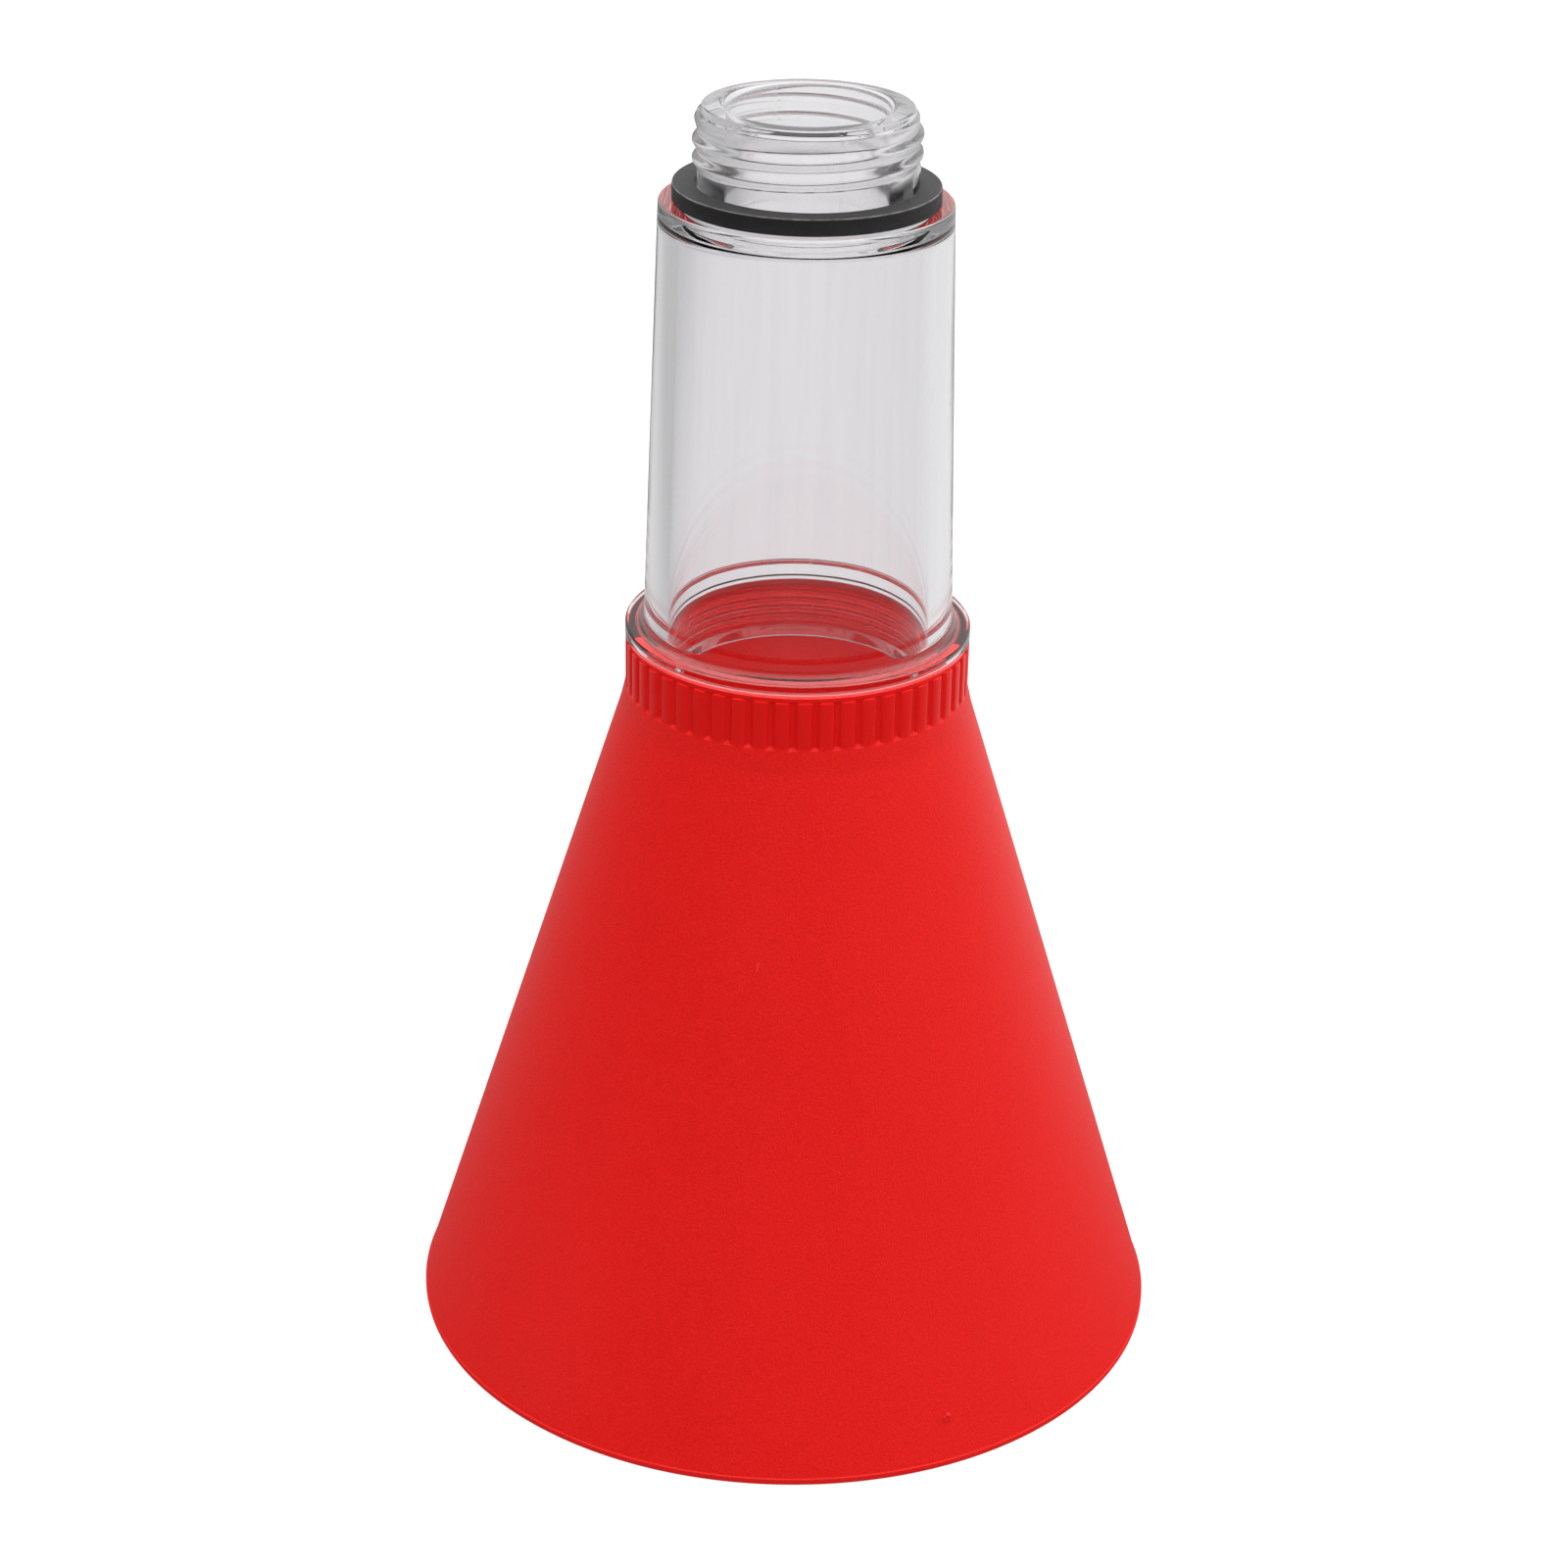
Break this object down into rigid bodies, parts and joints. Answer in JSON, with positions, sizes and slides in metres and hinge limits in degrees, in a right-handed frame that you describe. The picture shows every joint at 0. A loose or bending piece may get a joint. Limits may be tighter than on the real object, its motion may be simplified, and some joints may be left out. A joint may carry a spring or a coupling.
{
  "type": "screw-on filling funnel with sight tube",
  "caption": "Wide filling funnel in two screwed sections: a ribbed-collar cone and a clear sight tube whose threaded neck carries a flat rubber sealing washer.",
  "frame": {"origin": "centre of the wide mouth, on the plane that the funnel stands on", "axes": "+Z along the common axis of all pieces, from the wide mouth towards the threaded neck; +X to the right seen from the front, which faces -Y"},
  "size_m": [0.13, 0.13, 0.215],
  "materials": {
    "red_plastic": "fine satin grain, moulded",
    "clear_plastic": "polished transparent",
    "silicone": "matte",
    "black_rubber": "matte"
  },
  "bodies": {
    "cone": {"funnel_cone": "red_plastic"},
    "seal": {"collar_seal": "silicone"},
    "tube": {"sight_tube": "clear_plastic"},
    "gasket": {"neck_gasket": "black_rubber"}
  },
  "joints": [
    {"name": "tube_lift", "type": "slide", "parent": "cone", "child": "seal", "axis": [0, 0, 1], "range_m": [0, 0.0075]},
    {"name": "tube_unscrew", "type": "hinge", "parent": "seal", "child": "tube", "pos_m": [0, 0, 0.1263], "axis": [0, 0, 1], "range_deg": [0, 1800]},
    {"name": "gasket_lift", "type": "slide", "parent": "tube", "child": "gasket", "axis": [0, 0, 1], "range_m": [0, 0.0009]}
  ],
  "couplings": [
    {"joint": "tube_lift", "follows": "tube_unscrew", "m_per_rad": 0.00023873}
  ]
}
